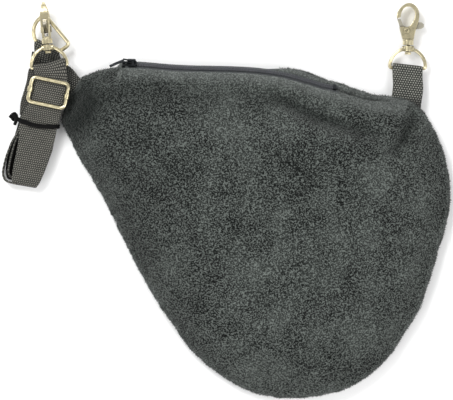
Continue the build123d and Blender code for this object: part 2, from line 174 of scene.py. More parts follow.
# ---- materials -----------------------------------------------------------------------
class Nodes:
    """Short helper for building a material's nodes."""

    def __init__(self, name):
        self.mat = bpy.data.materials.new(name)
        self.mat.use_nodes = True
        self.tree = self.mat.node_tree
        self.tree.nodes.clear()
        self.out = self.add("ShaderNodeOutputMaterial")
        self.bsdf = self.add("ShaderNodeBsdfPrincipled")
        self.link(self.bsdf.outputs[0], self.out.inputs[0])

    def add(self, kind, **values):
        node = self.tree.nodes.new(kind)
        for key, value in values.items():
            setattr(node, key, value)
        return node

    def link(self, a, b):
        self.tree.links.new(a, b)

    def put(self, socket, value):
        if isinstance(value, bpy.types.NodeSocket):
            self.link(value, socket)
        elif value is not None:
            socket.default_value = value

    def math(self, op, a, b=None, c=None, clamp=False):
        node = self.add("ShaderNodeMath", operation=op, use_clamp=clamp)
        for socket, value in zip(node.inputs, (a, b, c)):
            self.put(socket, value)
        return node.outputs[0]

    def mix(self, factor, a, b):
        node = self.add("ShaderNodeMix", data_type="RGBA")
        self.put(node.inputs[0], factor)
        self.put(node.inputs[6], a)
        self.put(node.inputs[7], b)
        return node.outputs[2]

    def ramp(self, value, low, high, a=0.0, b=1.0):
        node = self.add("ShaderNodeMapRange", interpolation_type="SMOOTHSTEP")
        self.put(node.inputs[0], value)
        node.inputs[1].default_value = low
        node.inputs[2].default_value = high
        node.inputs[3].default_value = a
        node.inputs[4].default_value = b
        return node.outputs[0]

    def coord(self):
        return self.add("ShaderNodeTexCoord").outputs["Object"]

    def noise(self, size_mm, detail=2.0, rough=0.5, vector=None):
        node = self.add("ShaderNodeTexNoise")
        node.inputs["Scale"].default_value = 1000.0 / size_mm
        node.inputs["Detail"].default_value = detail
        node.inputs["Roughness"].default_value = rough
        self.put(node.inputs["Vector"], vector or self.coord())
        return node.outputs["Fac"]

    def voronoi(self, size_mm, vector):
        node = self.add("ShaderNodeTexVoronoi", feature="SMOOTH_F1")
        node.inputs["Scale"].default_value = 1000.0 / size_mm
        self.put(node.inputs["Vector"], vector)
        return node.outputs["Distance"]

    def bump(self, height, distance_mm, strength=1.0, normal=None):
        node = self.add("ShaderNodeBump")
        node.inputs["Strength"].default_value = strength
        node.inputs["Distance"].default_value = distance_mm * MM
        self.put(node.inputs["Height"], height)
        self.put(node.inputs["Normal"], normal)
        return node.outputs[0]

    def attribute(self, name):
        return self.add("ShaderNodeAttribute", attribute_name=name).outputs["Fac"]

    def surface(self, color, rough, normal=None, metallic=0.0, sheen=0.0, specular=0.5):
        self.put(self.bsdf.inputs["Base Color"], color)
        self.put(self.bsdf.inputs["Roughness"], rough)
        self.put(self.bsdf.inputs["Normal"], normal)
        self.bsdf.inputs["Metallic"].default_value = metallic
        self.bsdf.inputs["Sheen Weight"].default_value = sheen
        self.bsdf.inputs["Sheen Roughness"].default_value = 0.5
        self.bsdf.inputs["Specular IOR Level"].default_value = specular
        return self.mat


def rgb(r, g, b):
    return (r, g, b, 1.0)


def fleece_material(name, dark, light, rim):
    """Pilled micro-fleece: fine curled nap, with a painted highlight where it rolls over an edge (partly the
    nap's own paler look) and painted shade where the shade attribute says.
    """
    m = Nodes(name)
    warp = m.add("ShaderNodeVectorMath", operation="MULTIPLY_ADD")
    swirl = m.add("ShaderNodeTexNoise")
    swirl.inputs["Scale"].default_value = 1000 / 2.4
    m.link(m.coord(), swirl.inputs["Vector"])
    m.link(swirl.outputs["Color"], warp.inputs[0])
    warp.inputs[1].default_value = (0.0007, 0.0007, 0.0007)
    m.link(m.coord(), warp.inputs[2])
    curl = m.noise(1.15, 1.0, 0.5, warp.outputs[0])
    tuft = m.voronoi(1.35, warp.outputs[0])
    patch = m.noise(24.0, 3.0, 0.55)
    haze = m.noise(75.0, 2.0, 0.5)
    tuft_light = m.ramp(tuft, 0.1, 0.6, 1.0, 0.0)
    curl_light = m.ramp(curl, 0.34, 0.68)
    nap = m.math("ADD", m.math("MULTIPLY", tuft_light, 0.3), m.math("MULTIPLY", curl_light, 0.7))
    nap = m.ramp(nap, 0.08, 0.92)
    haze_light = m.math("MULTIPLY", m.ramp(haze, 0.35, 0.65), 0.14)
    broad = m.math("MULTIPLY_ADD", m.ramp(patch, 0.3, 0.7), 0.22, haze_light)
    tone = m.math("MULTIPLY_ADD", nap, 0.86, m.math("SUBTRACT", broad, 0.16), clamp=True)
    color = m.mix(tone, dark, light)
    # painted highlight: the rim colour mixed in along rolled edges and the zip's lips, partly the nap's own
    # paler look
    edge = m.math("MULTIPLY", m.attribute("rim"), m.math("MULTIPLY_ADD", nap, 0.45, 0.5), clamp=True)
    color = m.mix(edge, color, rim)
    # painted shade: the shade attribute darkens the colour in folds, corners and grooves
    color = m.mix(m.attribute("shade"), color, rgb(0.006, 0.008, 0.007))
    normal = m.bump(nap, 0.7, 0.9)
    normal = m.bump(m.noise(0.7, 2.0, 0.6), 0.2, 0.8, normal)
    return m.surface(color, m.ramp(nap, 0.0, 1.0, 0.95, 0.85), normal, sheen=0.1, specular=0.06)


def webbing_material(name, dark, light, pitch, row, contrast, depth):
    """Woven webbing: offset rows of raised dots, on the piece's own length and width."""
    m = Nodes(name)
    uv = m.add("ShaderNodeUVMap", uv_map="cloth")
    xyz = m.add("ShaderNodeSeparateXYZ")
    m.link(uv.outputs[0], xyz.inputs[0])
    across = m.math("DIVIDE", xyz.outputs[0], pitch * MM)
    along = m.math("DIVIDE", xyz.outputs[1], row * MM)
    odd = m.math("MODULO", m.math("FLOOR", along), 2.0)
    across = m.math("MULTIPLY_ADD", odd, 0.5, across)
    wave_u = m.math("ABSOLUTE", m.math("SINE", m.math("MULTIPLY", across, math.pi)))
    wave_v = m.math("ABSOLUTE", m.math("SINE", m.math("MULTIPLY", along, math.pi)))
    dot = m.math("MULTIPLY", wave_u, wave_v)
    wear = m.noise(6.0, 3.0, 0.6)
    thread = m.noise(0.45, 2.0, 0.6)
    # the raised dots are painted lighter, a painted highlight on the weave, with random wear and thread
    # tones
    lit = m.math("MULTIPLY_ADD", m.math("SUBTRACT", wear, 0.5), 0.35, dot)
    lit = m.math("MULTIPLY_ADD", m.math("SUBTRACT", thread, 0.5), 0.35, lit)
    color = m.mix(m.ramp(lit, *contrast), dark, light)
    # painted shade from the shade attribute
    color = m.mix(m.attribute("shade"), color, rgb(0.006, 0.006, 0.006))
    normal = m.bump(dot, depth, 0.9)
    normal = m.bump(thread, 0.07, 0.6, normal)
    return m.surface(color, m.ramp(dot, 0, 1, 0.85, 0.6), normal, sheen=0.1, specular=0.3)


def metal_material(name, color, patina_and_shade_color, rough, bevel_mm=0.35):
    """Cast plated metal with soft edges, fine pitting, patches of patina and painted shade in its recesses.
    """
    m = Nodes(name)
    round_edges = m.add("ShaderNodeBevel", samples=6)
    round_edges.inputs["Radius"].default_value = bevel_mm * MM
    pits = m.noise(0.9, 3.0, 0.6)
    cloud = m.noise(5.0, 3.0, 0.6)
    scratch = m.noise(0.35, 1.0, 0.5)
    # painted shade: ambient occlusion darkens the recesses towards the dark colour
    hollow = m.add("ShaderNodeAmbientOcclusion", samples=6)
    hollow.inputs["Distance"].default_value = 1.8 * MM
    recess = m.ramp(hollow.outputs["AO"], 0.45, 0.9, 1.0, 0.0)
    deep = m.math("MULTIPLY", recess, 0.85)
    # random patches of patina plus the painted recess shade
    patina_and_recess_shade = m.math("MULTIPLY_ADD", m.ramp(cloud, 0.48, 0.72), 0.4, deep, clamp=True)
    tint = m.mix(m.ramp(pits, 0.3, 0.7), color, tuple(min(1, c * 1.12) for c in color[:3]) + (1,))
    shade = m.mix(patina_and_recess_shade, tint, patina_and_shade_color)
    normal = m.bump(m.noise(4.5, 1.0, 0.4), 0.5, 0.8, round_edges.outputs[0])
    normal = m.bump(pits, 0.03, 0.5, normal)
    gloss = m.math("MULTIPLY_ADD", scratch, 0.12, rough)
    gloss = m.math("MULTIPLY_ADD", patina_and_recess_shade, 0.25, gloss)
    return m.surface(shade, gloss, normal, metallic=1.0)


def plain_material(name, color, deep, size, rough, depth=0.08, sheen=0.0, specular=0.4):
    """A finely textured dark material for zip parts, elastic and lining."""
    m = Nodes(name)
    grain = m.noise(size, 3.0, 0.6)
    tone = m.mix(m.ramp(grain, 0.3, 0.7), deep, color)
    normal = m.bump(grain, depth, 0.8)
    gloss = m.ramp(grain, 0.2, 0.8, rough, rough + 0.15)
    return m.surface(tone, gloss, normal, sheen=sheen, specular=specular)


TAB_WEAVE = (2.05, 1.8, 0.22)         # the weave's pitch, row and height, in millimetres
STRAP_WEAVE = (1.75, 1.7, 0.13)

# the third colour is the painted highlight along rolled edges and lips
FLEECE = fleece_material(
    "fleece_green_grey", rgb(0.004, 0.005, 0.0045), rgb(0.125, 0.141, 0.130), rgb(0.18, 0.195, 0.186)
)
TAB_WEB = webbing_material(
    "webbing_tab", rgb(0.014, 0.016, 0.014), rgb(0.24, 0.24, 0.21), *TAB_WEAVE[:2], (0.34, 0.9), 0.5
)
STRAP_WEB = webbing_material(
    "webbing_strap", rgb(0.010, 0.011, 0.009), rgb(0.145, 0.14, 0.12), *STRAP_WEAVE[:2], (0.24, 0.78), 0.4
)
# the second colour is the patina and painted recess shade
BRASS = metal_material("antique_brass", rgb(0.62, 0.555, 0.365), rgb(0.022, 0.019, 0.012), 0.24, 0.6)
GATE = metal_material("gate_plate", rgb(0.52, 0.49, 0.40), rgb(0.04, 0.036, 0.028), 0.3)
SPRING = metal_material("spring_wire", rgb(0.72, 0.71, 0.68), rgb(0.08, 0.08, 0.07), 0.22, 0.1)
ZIP_BLACK = metal_material("zip_black", rgb(0.035, 0.038, 0.042), rgb(0.006, 0.006, 0.006), 0.35, 0.25)
COIL = plain_material("zip_coil_nylon", rgb(0.095, 0.098, 0.108), rgb(0.03, 0.032, 0.038), 0.5, 0.4)
TAPE = plain_material(
    "zip_tape_cloth", rgb(0.075, 0.082, 0.084), rgb(0.02, 0.024, 0.026), 0.55, 0.8, 0.12, 0.1
)
ELASTIC = plain_material(
    "tie_elastic", rgb(0.005, 0.005, 0.005), rgb(0.001, 0.001, 0.001), 0.5, 0.75, 0.12, specular=0.12
)
LINING = plain_material("lining_cloth", rgb(0.05, 0.055, 0.05), rgb(0.02, 0.024, 0.02), 0.6, 0.75, 0.1, 0.2)
WADDING = plain_material("wadding_fill", rgb(0.62, 0.62, 0.58), rgb(0.4, 0.4, 0.38), 2.2, 0.9, 0.5, 0.3)

# ---- outline and zip line ------------------------------------------------------------
OUTLINE = [
    (-131.5, 65), (-125, 51), (-117, 34), (-108, 20), (-97, 1), (-85, -24), (-72, -50), (-60, -72),
    (-45, -95), (-27, -120), (-2, -141), (22, -153.5), (40, -157.5), (62, -158), (84, -154.5), (100, -149),
    (113, -141), (129, -127), (141, -109), (152, -92), (158, -79), (167, -51), (172, -34), (176, -20),
    (179.5, 2), (178.5, 17), (176, 32), (171, 46), (165, 59), (159, 69), (151, 77), (142, 81.5),
    (131, 83), (120, 83.2), (111, 84.5), (99, 88.5), (85, 94.5), (71, 100.5), (60, 103.8), (48, 104.6),
    (30, 104.6), (2, 105.4), (-23, 105.6), (-40, 106.2), (-55, 107.2), (-70, 108.0), (-82, 106.6),
    (-93, 105.2), (-105, 102), (-115, 98), (-121.5, 89.5), (-127, 79),
]
edge_line = spline([(x, y, 0) for x, y in OUTLINE], 1.25, closed=True)[:, :2]
wobble = noise_at(np.c_[edge_line, np.zeros(len(edge_line))], 11.0, 3.0)
out_dir = np.roll(edge_line, -1, 0) - np.roll(edge_line, 1, 0)
out_dir = np.c_[out_dir[:, 1], -out_dir[:, 0]]
out_dir /= np.linalg.norm(out_dir, axis=1)[:, None]
edge_line = edge_line + out_dir * (wobble * 0.7 - 0.3)[:, None]

ZIP_Z = 17.5
ZIP_POINTS = [
    (-80, 108.6), (-66, 107.9), (-52, 106.7), (-39, 105.7), (-25, 105.1), (-10, 104.8), (6, 104.4),
    (22, 103.5), (38, 101.6), (52, 98.9), (62, 95.9), (70, 93.7), (76, 91.8), (84, 90.2),
    (88, 89.2), (103, 84.0),
    (116, 80.6), (128, 80.0),
]
zip_line = spline([(x, y, ZIP_Z) for x, y in ZIP_POINTS], 0.65)
ZIP_STOP_X = 86.0
TILT = math.radians(45)


def zip_frame(points):
    """Tangent, down-the-back and outward directions along the zip's line."""
    t = np.gradient(points, axis=0)
    t /= np.linalg.norm(t, axis=1)[:, None]
    side = np.c_[-t[:, 1], t[:, 0], np.zeros(len(t))]
    up = np.array((0, 0, 1.0))
    u = side * math.sin(TILT) - up * math.cos(TILT)
    n = side * math.cos(TILT) + up * math.sin(TILT)
    return t, u, n


zip_t, zip_u, zip_n = zip_frame(zip_line)


def nearest(points, line):
    """Index of the nearest line point, and the distance in plan, for each point."""
    best = np.full(len(points), 1e9)
    index = np.zeros(len(points), int)
    for i in range(0, len(line), 40):
        part = line[i:i + 40]
        d = np.linalg.norm(points[:, None, :2] - part[None, :, :2], axis=2)
        k = d.argmin(1)
        dist = d[np.arange(len(points)), k]
        better = dist < best
        best[better] = dist[better]
        index[better] = k[better] + i
    return index, best


# ---- fleece body ---------------------------------------------------------------------
FRONT_RISE = [(1.0, 0.0), (0.985, 0.1), (0.96, 0.24), (0.92, 0.38), (0.86, 0.53), (0.78, 0.67), (0.66, 0.8),
              (0.52, 0.9), (0.36, 0.96), (0.18, 0.99)]
BACK_DROP = [(0.985, 0.4), (0.96, 0.72), (0.93, 0.9), (0.86, 1.0), (0.6, 1.0), (0.3, 1.0)]


def pillow_mesh(name, crown):
    ring = edge_line[::3]
    count = len(ring)
    verts, faces = [], []

    def level(scale, z):
        start = len(verts)
        for x, y in ring:
            verts.append((CENTRE[0] + (x - CENTRE[0]) * scale, CENTRE[1] + (y - CENTRE[1]) * scale, z))
        return start

    def join(a, b):
        for i in range(count):
            j = (i + 1) % count
            faces.append((a + i, a + j, b + j, b + i))

    start = level(1.0, SEAM_Z)
    last = start
    for scale, rise in FRONT_RISE[1:]:
        here = level(scale, SEAM_Z + rise * crown)
        join(last, here)
        last = here
    verts.append((CENTRE[0], CENTRE[1], SEAM_Z + crown))
    top = len(verts) - 1
    faces.extend((last + i, last + (i + 1) % count, top) for i in range(count))
    last = start
    for scale, drop in BACK_DROP:
        here = level(scale, SEAM_Z * (1 - drop) + 0.7)
        join(here, last)
        last = here
    verts.append((CENTRE[0], CENTRE[1], 0.7))
    bottom = len(verts) - 1
    faces.extend((last + (i + 1) % count, last + i, bottom) for i in range(count))
    return new_mesh(name, verts, faces)


def puffed(obj, cap):
    """Voxel remesh, inflate as cloth, and let no point move further than cap from where it began."""
    remesh = obj.modifiers.new("remesh", "REMESH")
    remesh.mode = "VOXEL"
    remesh.voxel_size = 5 * MM
    applied(obj)
    start = coords(obj)
    seam_pin = obj.vertex_groups.new(name="seam")
    near = nearest(start, edge_line)[1]
    for i in np.where((near < 4) & (np.abs(start[:, 2] - SEAM_Z) < 4))[0]:
        seam_pin.add([int(i)], 1.0, "ADD")
    cloth = obj.modifiers.new("cloth", "CLOTH")
    settings = cloth.settings
    settings.quality = 6
    settings.mass = 0.25
    settings.tension_stiffness = settings.compression_stiffness = 14
    settings.shear_stiffness = 6
    settings.bending_stiffness = 0.6
    settings.use_pressure = True
    settings.uniform_pressure_force = 4
    settings.effector_weights.gravity = 0
    settings.vertex_group_mass = "seam"
    settings.pin_stiffness = 1.0
    cloth.collision_settings.use_collision = False
    cloth.point_cache.frame_start, cloth.point_cache.frame_end = 1, 20
    scene = bpy.context.scene
    for f in range(1, 21):
        scene.frame_set(f)
    applied(obj)
    obj.vertex_groups.clear()
    moved = coords(obj) - start
    length = np.linalg.norm(moved, axis=1)
    moved *= (cap * np.tanh(length / cap) / np.maximum(length, 1e-6))[:, None]
    set_coords(obj, start + moved)
    scene.frame_set(1)
    return obj


def line_falloff(co, points, width):
    """0 to 1 closeness to a line drawn in plan through the points, fading out at both its ends."""
    line = spline([(x, y, 0) for x, y in points], 1.5)
    index, dist = nearest(co, line)
    ends = np.sin(math.pi * np.clip(index / (len(line) - 1), 0, 1)) ** 0.6
    return np.exp(-(dist / width) ** 2) * ends


TROUGH = [(30, 84), (49, 77), (74, 65.5), (96, 58.5), (112, 54.5), (128, 54)]
CREASE = [(153, 73), (149, 65), (144.5, 55), (139, 45), (130, 36)]
RIDGE = [(158, -10), (152, -34), (144, -56), (136, -82)]
FOLD_LEFT = [(-128, 70), (-108, 62), (-84, 44), (-66, 18)]


def shifted(line, x, y):
    return [(a + x, b + y) for a, b in line]


FOLDS = [                             # line, rise or fall, and width, in millimetres
    (TROUGH, -6.4, 7.0),
    (shifted(TROUGH, 0, -13), 3.0, 8.0),
    (CREASE, -6.0, 5.5),
    (shifted(CREASE, 9, -2), 2.8, 6.0),
    (RIDGE, 2.8, 5.5),
    (shifted(RIDGE, 9, 0), -1.1, 6.0),
    (FOLD_LEFT, -1.5, 9.0),
]
LEFT_CORNER = np.array((-128, 74))
LEFT_SEAM_CORNER = np.array((-131, 74))
BUCKLE_REST = np.array((-126, 82))
SEAM_ROUND = 6.5                      # how far in from the edge the body is rounded


def shaped(obj):
    """Folds, the zip's groove and lips, and the flat underside."""
    co = coords(obj)
    top = smooth(SEAM_Z, SEAM_Z + 7, co[:, 2])
    for line, rise, width in FOLDS:
        co[:, 2] += top * rise * line_falloff(co, line, width)
    near, away = nearest(co, edge_line)
    height = np.abs(co[:, 2] - SEAM_Z)
    rounded = SEAM_ROUND - np.sqrt(np.maximum(SEAM_ROUND ** 2 - np.minimum(height, 6.4) ** 2, 0))
    short = np.clip(away + 0.2 - rounded, 0, 4.5)
    short *= (1 - smooth(3.5, 8, height)) * (1 - smooth(4.5, 9, away))
    co[:, :2] += out_dir[near] * short[:, None]
    under_buckle = np.exp(-(np.linalg.norm(co[:, :2] - BUCKLE_REST, axis=1) / 11.0) ** 2)
    co[:, 2] -= top * 3.4 * under_buckle
    broad = noise_at(co * (1, 1, 0.4), 46.0, 1.0, 3)
    co[:, 2] += top * 1.7 * broad

    index, plan = nearest(co, zip_line)
    rel = co - zip_line[index]
    along = zip_line[index, 0]
    u = (rel * zip_u[index]).sum(1)
    n = (rel * zip_n[index]).sum(1)
    past = np.abs((rel * zip_t[index]).sum(1))
    opened = smooth(-92, -82, along) * (1 - smooth(84, 94, along))
    seam = 1 - smooth(120, 128, along)
    reach = (1 - smooth(9, 21, np.abs(u))) * (1 - smooth(2, 8, past)) * (co[:, 2] > 4)
    low_back = 1 - smooth(24, 60, along)
    lip = np.where(u > 0, 1.4 * (1 - low_back), 0.5) * np.exp(-((np.abs(u) - 5.6) / 1.7) ** 2)
    floor = -2.6 * (1 - smooth(2.6, 4.6, np.abs(u)))
    groove = -1.6 * np.exp(-(u / 2.0) ** 2) + 0.5
    wanted = np.where(opened > 0, opened * (lip + floor), 0) + (1 - opened) * groove * seam
    weight = reach * np.maximum(opened, 0.8 * seam * smooth(-90, -80, along))
    weight *= np.abs(n) < 16
    shift = (wanted - n) * weight
    co += zip_n[index] * shift[:, None]
    furthest = zip_line[index, 1] + 1.9 + 4.2 * smooth(22, 60, along) - 1.9 * smooth(62, 86, along)
    furthest += 3.0 * (1 - smooth(-96, -84, along)) - 1.2 * smooth(106, 122, along) + 9.0 * (co[:, 0] > 127)
    co[:, 1] = np.where(plan < 16, np.minimum(co[:, 1], furthest), co[:, 1])
    co[:, 2] = np.maximum(co[:, 2], 0.35)
    set_coords(obj, co)
    return obj


def napped(obj, seed):
    """Tufted surface, with a painted highlight (rim) and painted shade (shade) at each point."""
    co = coords(obj)
    direction = normals(obj)
    tuft = noise_at(co, 2.6, seed) * 0.62 + noise_at(co, 5.5, seed + 5) * 0.4
    tuft *= smooth(0.2, 3.0, co[:, 2]) * 0.75 + 0.25
    co = co + direction * (tuft * 0.85)[:, None]
    co[:, 2] = np.maximum(co[:, 2], 0.05)
    set_coords(obj, co)
    index, plan = nearest(co, zip_line)
    rel = co - zip_line[index]
    u = np.abs((rel * zip_u[index]).sum(1))
    n = (rel * zip_n[index]).sum(1)
    along = zip_line[index, 0]
    # painted highlight along rolled edges and the zip's lips, partly the nap's own paler look; widest at the
    # upper left, where the key light falls
    upper_left = smooth(60, 95, co[:, 1]) * (1 - smooth(-90, -60, co[:, 0])) * smooth(-124, -112, co[:, 0])
    edge_wide = 4.5 + 6.0 * upper_left
    away = nearest(co, edge_line)[1]
    rolled = (1 - smooth(1.0, 8.0, co[:, 2] - SEAM_Z)) * (1 - smooth(0.25, 1.0, away / edge_wide))
    lip = (1 - smooth(6, 19, u)) * (plan < 18) * (n > -6) * smooth(-100, -75, along)
    rim = np.clip(0.6 * rolled + 0.75 * lip + 0.12 * noise_at(co, 9.0, seed + 9), 0, 1)
    # painted shade in the trough and crease, at the left corner, towards the left, under the zip's lip, in
    # its groove and along the seam past the zip
    deep = 0.66 * line_falloff(co, TROUGH, 5.0) + 0.62 * line_falloff(co, CREASE, 4.4)
    corner = 1 - smooth(6, 40, np.linalg.norm(co[:, :2] - LEFT_CORNER, axis=1))
    left = 0.26 * (1 - smooth(-125, 0, co[:, 0])) * (1 - smooth(0.0, 1.0, rim * 1.4))
    under_lip = 0.30 * np.exp(-((u - 25) / 11.0) ** 2) * (plan < 60)
    under_lip = under_lip * smooth(-110, -70, along) * (1 - smooth(40, 80, along))
    groove = (u < 3.4) & (plan < 4) & (n < -0.6) & (along < ZIP_STOP_X)
    seam = np.exp(-(u / 1.5) ** 2) * (plan < 4) * smooth(84, 90, along) * (1 - smooth(120, 128, along))
    shade = np.clip(deep + 0.78 * corner + left + under_lip + 0.5 * groove + 0.7 * seam, 0, 0.9)
    set_value(obj, "rim", rim)
    set_value(obj, "shade", shade)
    return obj


FIBRE_COUNT = 60000
FIBRE_LONG = (0.9, 1.9)
FIBRE_HALF_WIDE = (0.12, 0.26)


def fuzz(obj, count, seed):
    """Short loose fibres standing out of the fleece, thickest along its edges and lips."""
    rng = np.random.default_rng(seed)
    co, out = coords(obj), normals(obj)
    rim, shade = values(obj, "rim"), values(obj, "shade")
    away = nearest(co, edge_line)[1]
    weight = (0.2 + rim + 2.2 * np.exp(-away / 2.0)) * (co[:, 2] > 2.0)
    weight *= nearest(co, zip_line[zip_line[:, 0] < ZIP_STOP_X])[1] > 4.5
    weight *= (co[:, 0] > -116) | (co[:, 1] < 66)
    pick = rng.choice(len(co), count, p=weight / weight.sum())
    lean = out[pick] + rng.normal(0, 0.5, (count, 3))
    lean /= np.linalg.norm(lean, axis=1)[:, None]
    side = np.cross(lean, rng.normal(size=(count, 3)))
    side /= np.linalg.norm(side, axis=1)[:, None]
    root = co[pick] + rng.normal(0, 0.35, (count, 3)) - out[pick] * 0.3
    tip = root + lean * rng.uniform(*FIBRE_LONG, count)[:, None]
    half_wide = rng.uniform(*FIBRE_HALF_WIDE, count)[:, None]
    v = np.stack([root - side * half_wide, root + side * half_wide, tip], 1).reshape(-1, 3)
    v[:, 2] = np.maximum(v[:, 2], 0.1)
    fibres = new_mesh("fleece_fuzz", v, np.arange(3 * count).reshape(-1, 3))
    # the fibres take the body's painted highlight, a little paler, and its painted shade
    set_value(fibres, "rim", np.repeat(np.clip(rim[pick] + 0.1, 0, 1), 3))
    set_value(fibres, "shade", np.repeat(shade[pick], 3))
    piece(fibres, "bag", "fleece", material=FLEECE)


def half(obj, name, keep_above):
    """The part of the body above or below its seam plane, as its own piece."""
    mesh = obj.data.copy()
    bm = bmesh.new()
    bm.from_mesh(mesh)
    plane = (0, 0, SEAM_Z * MM)
    geom = bm.verts[:] + bm.edges[:] + bm.faces[:]
    bmesh.ops.bisect_plane(
        bm, geom=geom, plane_co=plane, plane_no=(0, 0, 1), clear_inner=keep_above, clear_outer=not keep_above
    )
    bm.to_mesh(mesh)
    bm.free()
    made = bpy.data.objects.new(name, mesh)
    mesh.name = name
    bpy.context.scene.collection.objects.link(made)
    mesh.shade_smooth()
    return made


def inner_layers(obj):
    """Wadding and lining inside the fleece, following its folds."""
    fewer = obj.copy()
    fewer.data = obj.data.copy()
    bpy.context.scene.collection.objects.link(fewer)
    thin = fewer.modifiers.new("fewer", "DECIMATE")
    thin.ratio = 0.12
    applied(fewer)
    base = coords(fewer)
    for layer, finish, wide, high in (("wadding", WADDING, 0.955, 0.86), ("lining", LINING, 0.90, 0.66)):
        co = base.copy()
        co[:, :2] = CENTRE + (co[:, :2] - CENTRE) * wide
        co[:, 2] = SEAM_Z + (co[:, 2] - SEAM_Z) * high
        co += 0.25 * noise_at(co, 12.0, 20 * wide)[:, None] * (0, 0, 1)
        index, plan = nearest(co, zip_line)
        above = ((co - zip_line[index]) * zip_n[index]).sum(1) + 7.5
        co -= zip_n[index] * (np.maximum(above, 0) * (1 - smooth(8, 16, plan)))[:, None]
        set_coords(fewer, co)
        for side, above in (("front", True), ("back", False)):
            made = half(fewer, f"{layer}_{side}", above)
            piece(made, "bag", layer, f"{side}_{layer}", material=finish)
    bpy.data.objects.remove(fewer)


body = pillow_mesh("body_form", CROWN - SEAM_Z - 2)
puffed(body, 6.0)
sub = body.modifiers.new("finer", "SUBSURF")
sub.levels = sub.render_levels = 2
applied(body)
shaped(body)
inner_layers(body)
napped(body, 2.0)
for part_name, above in (("fleece_front", True), ("fleece_back", False)):
    panel = half(body, part_name, above)
    piece(panel, "bag", "fleece", "front_panel" if above else "back_panel", material=FLEECE)
fuzz(body, FIBRE_COUNT, 11)
bpy.data.objects.remove(body)


# ---- rolled seam ---------------------------------------------------------------------
def tube(name, line, radius, around=10, closed=False, lump=0.0, seed=0.0, flat=1.0):
    """A round or flattened tube along a line of points."""
    t = np.roll(line, -1, 0) - np.roll(line, 1, 0) if closed else np.gradient(line, axis=0)
    t /= np.linalg.norm(t, axis=1)[:, None]
    up = np.array((0, 0, 1.0))
    side = np.cross(t, up)
    upright = np.linalg.norm(side, axis=1) < 0.2
    side[upright] = np.cross(t[upright], np.array((0, 1.0, 0)))
    side /= np.linalg.norm(side, axis=1)[:, None]
    lift = np.cross(side, t)
    verts = []
    for k in range(around):
        a = 2 * math.pi * k / around
        verts.append(line + side * math.cos(a) * radius + lift * math.sin(a) * radius * flat)
    v = np.stack(verts, 1).reshape(-1, 3)
    if lump:
        centre = np.repeat(line, around, 0)
        v = centre + (v - centre) * (1 + lump * noise_at(v, 2.4, seed))[:, None]
    return new_mesh(name, v, skin(len(line), around, closed=closed))


rim_line = np.c_[edge_line - out_dir * 1.1, np.full(len(edge_line), SEAM_Z)]
rim = tube("seam_roll", rim_line, 1.3, 10, closed=True, lump=0.35, seed=4.0, flat=1.1)
# painted highlight along the rolled seam, and painted shade near the left corner
set_value(rim, "rim", np.clip(0.45 + 0.35 * noise_at(coords(rim), 8.0, 8.0), 0, 1))
from_corner = np.linalg.norm(coords(rim)[:, :2] - LEFT_SEAM_CORNER, axis=1)
set_value(rim, "shade", 0.5 * (1 - smooth(4, 30, from_corner)))
piece(rim, "bag", "fleece", material=FLEECE)


# ---- webbing -------------------------------------------------------------------------
def ribbon(name, stations, thick, weave, bend=None, on_edge=False, shade=0.0):
    """Webbing along stations of (x, y, z, half width, side angle in degrees), woven in relief.

    The face is at right angles to the side direction and the path; weave is (pitch, row, height).
    A ribbon on edge stands up from the floor.
    """
    step = 0.7
    rows = spline(stations, step)
    line, half_w = rows[:, :3], rows[:, 3]
    angle = np.radians(rows[:, 4])
    side = np.c_[np.cos(angle), np.sin(angle), np.zeros(len(rows))]
    if on_edge:
        side[:] = (0, 0, 1)
    t = np.gradient(line, axis=0)
    t /= np.linalg.norm(t, axis=1)[:, None]
    face = np.cross(side, t)
    face /= np.linalg.norm(face, axis=1)[:, None]
    run = np.concatenate([[0], np.cumsum(np.linalg.norm(np.diff(line, axis=0), axis=1))])
    cols = max(8, int(round(2 * half_w.max() / step)))
    share = np.linspace(-1, 1, cols + 1)
    verts, uvs = [], []
    for sign in (1, -1):
        for s in share:
            u = s * half_w
            along = run / weave[1]
            across = u / weave[0] + 0.5 * (np.floor(along) % 2)
            bead = np.abs(np.sin(math.pi * across)) * np.abs(np.sin(math.pi * along))
            hem = 1 - 0.55 * abs(s) ** 14
            lift = (thick / 2 * hem + weave[2] * (bead - 0.4)) * sign
            v = line + side * u[:, None] + face * lift[:, None]
            verts.append(v)
            uvs.append(np.c_[u * MM, run * MM])
    v = np.stack(verts, 1)
    if bend is not None:
        v = bend(v)
    rings = 2 * (cols + 1)
    order = list(range(cols + 1)) + list(range(2 * cols + 1, cols, -1))
    faces = skin(len(rows), rings, order=order)
    obj = new_mesh(name, v.reshape(-1, 3), faces, np.stack(uvs, 1).reshape(-1, 2))
    # painted shade, the same over the whole piece
    set_value(obj, "shade", shade)
    return obj


def shade_by(obj, function):
    """Set the piece's painted shade from a function of its millimetre coordinates."""
    value = np.clip(function(coords(obj)), 0, 0.95).astype(np.float32)
    obj.data.attributes["shade"].data.foreach_set("value", value)


def turned(origin, angle, points):
    """Stations from a piece's own (x, y, z, half, side) to the drawing frame."""
    a = math.radians(angle)
    out = []
    for x, y, z, h, s in points:
        out.append((
            origin[0] + x * math.cos(a) - y * math.sin(a),
            origin[1] + x * math.sin(a) + y * math.cos(a),
            origin[2] + z, h, s + angle,
        ))
    return out


def fold_stations(radius, half_w, tail_top, tail_bottom, skew=0.0):
    """Round a bar: in along the bottom, round, and back along the top."""
    points = [(*p, half_w, skew) for p in tail_bottom]
    for a in range(-90, 91, 30):
        r = math.radians(a)
        points.append((0, radius * math.cos(r), radius * math.sin(r), half_w, skew))
    points += [(*p, half_w, skew) for p in tail_top]
    return points


